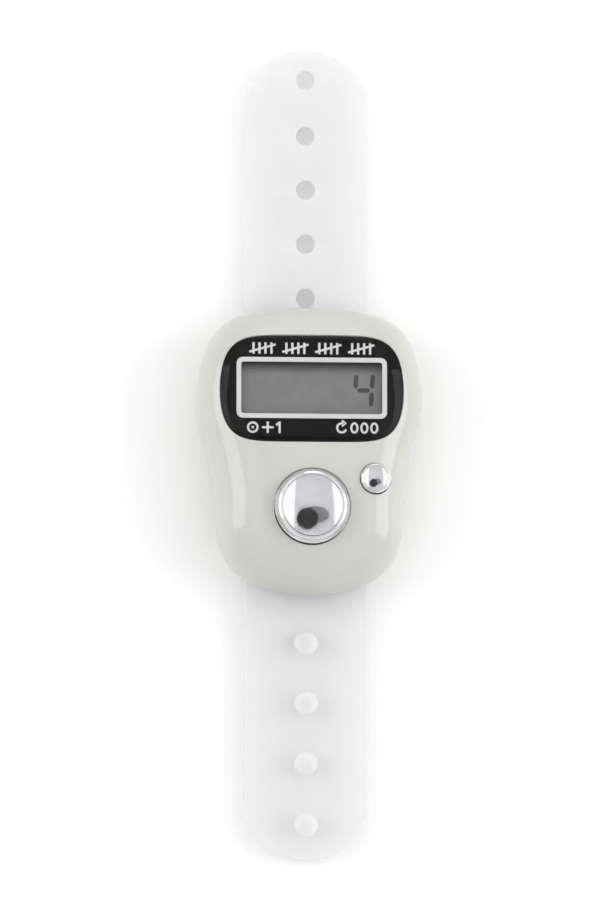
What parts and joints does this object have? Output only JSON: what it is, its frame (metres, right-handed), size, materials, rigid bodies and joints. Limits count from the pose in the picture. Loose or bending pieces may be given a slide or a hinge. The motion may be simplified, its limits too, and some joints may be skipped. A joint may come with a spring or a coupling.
{
  "type": "finger tally counter",
  "caption": "Finger tally counter: rounded plastic case with a liquid crystal window, a chrome count key, a small chrome reset key and a translucent peg strap.",
  "frame": {"origin": "below the middle of the case, at the undersides of the strap loops; the strap lies 0.5 mm towards the display end, so the middle of the overall box is 0.5 mm along +Y from here", "axes": "+Y from the keys towards the display end and along the strap's holed half, +Z out of the front face, +X to the reset key's side"},
  "size_m": [0.0298, 0.108, 0.0146],
  "materials": {
    "case_plastic": "gloss moulded ABS, warm off-white",
    "screw_steel": "nickel plated",
    "label_black": "black printed film",
    "lens_clear": "clear gloss acrylic",
    "polariser_film": "neutral polarising film",
    "lcd_glass": "thin clear glass",
    "reflector_film": "grey reflective film",
    "foam_grey": "closed-cell foam",
    "contact_rubber": "striped contact elastomer",
    "board_green": "green solder mask",
    "epoxy_black": "black epoxy drop",
    "ceramic_tan": "ceramic chip",
    "cell_steel": "nickel plated steel",
    "contact_brass": "plated spring brass",
    "keypad_rubber": "translucent grey silicone",
    "carbon_black": "carbon loaded silicone",
    "key_chrome": "vacuum chrome plated plastic",
    "strap_silicone": "frosted translucent elastomer"
  },
  "bodies": {
    "root": {"upper_shell": "case_plastic", "back_cover": "case_plastic", "case_screws": "screw_steel", "label_film": "label_black", "display_lens": "lens_clear", "lcd_front_polariser": "polariser_film", "lcd_front_glass": "lcd_glass", "lcd_rear_glass": "lcd_glass", "lcd_reflector": "reflector_film", "lcd_foam_pad": "foam_grey", "zebra_strip": "contact_rubber", "circuit_board": "board_green", "board_screws": "screw_steel", "chip_blob": "epoxy_black", "board_capacitors": "ceramic_tan", "battery_cell": "cell_steel", "battery_plus_contact": "contact_brass", "battery_minus_spring": "cell_steel", "keypad_sheet": "keypad_rubber", "count_dome": "keypad_rubber", "reset_dome": "keypad_rubber", "strap_middle": "strap_silicone"},
    "count_key": {"count_button": "key_chrome", "count_pill": "carbon_black"},
    "reset_key": {"reset_button": "key_chrome", "reset_pill": "carbon_black"},
    "door": {"battery_door": "case_plastic"},
    "holes_1": {"strap_hole_1": "strap_silicone"},
    "pegs_1": {"strap_peg_1": "strap_silicone"},
    "holes_2": {"strap_hole_2": "strap_silicone"},
    "pegs_2": {"strap_peg_2": "strap_silicone"},
    "holes_3": {"strap_hole_3": "strap_silicone"},
    "pegs_3": {"strap_peg_3": "strap_silicone"},
    "holes_4": {"strap_hole_4": "strap_silicone"},
    "pegs_4": {"strap_peg_4": "strap_silicone"}
  },
  "joints": [
    {"name": "count_press", "type": "slide", "parent": "root", "child": "count_key", "axis": [0, 0, -1], "range_m": [0, 0.00075], "stiffness_N_per_m": 800, "springref_m": -0.0003, "deforming": ["count_dome"]},
    {"name": "reset_press", "type": "slide", "parent": "root", "child": "reset_key", "axis": [0, 0, -1], "range_m": [0, 0.00075], "stiffness_N_per_m": 800, "springref_m": -0.0003, "deforming": ["reset_dome"]},
    {"name": "battery_door_slide", "type": "slide", "parent": "root", "child": "door", "axis": [1, 0, 0], "range_m": [0, 0.014]},
    {"name": "hole_half_wrap", "type": "hinge", "parent": "root", "child": "holes_1", "pos_m": [-0.0003, 0.0166, 0.0019], "axis": [-1, 0, 0], "range_deg": [0, 80], "stiffness_Nm_per_rad": 0.008},
    {"name": "hole_half_bend_2", "type": "hinge", "parent": "holes_1", "child": "holes_2", "pos_m": [-0.0003, 0.02465, 0.0019], "axis": [-1, 0, 0], "range_deg": [0, 42.4]},
    {"name": "hole_half_bend_3", "type": "hinge", "parent": "holes_2", "child": "holes_3", "pos_m": [-0.0003, 0.03195, 0.0019], "axis": [-1, 0, 0], "range_deg": [0, 31.5]},
    {"name": "hole_half_bend_4", "type": "hinge", "parent": "holes_3", "child": "holes_4", "pos_m": [-0.0003, 0.0373, 0.0019], "axis": [-1, 0, 0], "range_deg": [0, 26.3]},
    {"name": "peg_half_wrap", "type": "hinge", "parent": "root", "child": "pegs_1", "pos_m": [-0.0003, -0.0166, 0.0019], "axis": [1, 0, 0], "range_deg": [0, 72], "stiffness_Nm_per_rad": 0.008},
    {"name": "peg_half_bend_2", "type": "hinge", "parent": "pegs_1", "child": "pegs_2", "pos_m": [-0.0003, -0.0211, 0.0019], "axis": [1, 0, 0], "range_deg": [0, 41.1]},
    {"name": "peg_half_bend_3", "type": "hinge", "parent": "pegs_2", "child": "pegs_3", "pos_m": [-0.0003, -0.02905, 0.0019], "axis": [1, 0, 0], "range_deg": [0, 39.1]},
    {"name": "peg_half_bend_4", "type": "hinge", "parent": "pegs_3", "child": "pegs_4", "pos_m": [-0.0003, -0.03695, 0.0019], "axis": [1, 0, 0], "range_deg": [0, 28.1]}
  ],
  "couplings": [
    {"joint": "hole_half_bend_2", "follows": "hole_half_wrap", "ratio": 0.52942},
    {"joint": "hole_half_bend_3", "follows": "hole_half_wrap", "ratio": 0.39307},
    {"joint": "hole_half_bend_4", "follows": "hole_half_wrap", "ratio": 0.32751},
    {"joint": "peg_half_bend_2", "follows": "peg_half_wrap", "ratio": 0.56944},
    {"joint": "peg_half_bend_3", "follows": "peg_half_wrap", "ratio": 0.54167},
    {"joint": "peg_half_bend_4", "follows": "peg_half_wrap", "ratio": 0.38889}
  ]
}
